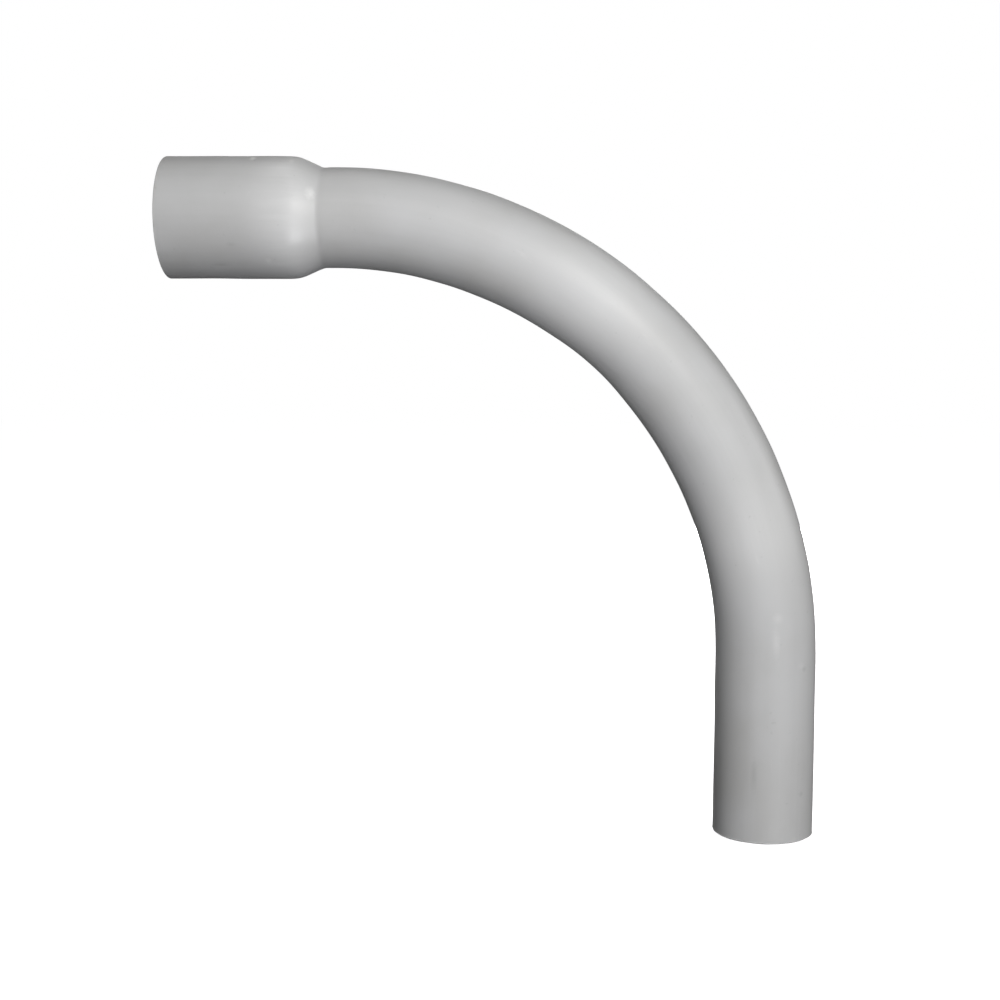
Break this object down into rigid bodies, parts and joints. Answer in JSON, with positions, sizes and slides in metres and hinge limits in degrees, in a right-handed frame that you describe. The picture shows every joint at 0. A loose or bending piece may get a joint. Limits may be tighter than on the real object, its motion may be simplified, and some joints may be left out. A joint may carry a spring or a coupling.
{
  "type": "conduit elbow",
  "caption": "Rigid PVC electrical conduit elbow: a right-angle swept bend with a belled socket end and a plain spigot end.",
  "frame": {"origin": "centre of the bell's mouth, on the socket's axis, in the plane of the mouth", "axes": "+X runs along the socket's axis into the elbow, the bend lies in the XZ plane and turns down, -Z is the direction in which the plain end points, +Y is square to the bend's plane"},
  "size_m": [0.2194, 0.0406, 0.2263],
  "materials": {
    "pvc_grey": "satin extruded light grey PVC, a little smoother on the bell, rougher on the two sawn ends"
  },
  "bodies": {
    "root": {"elbow_tube": "pvc_grey"}
  },
  "joints": []
}
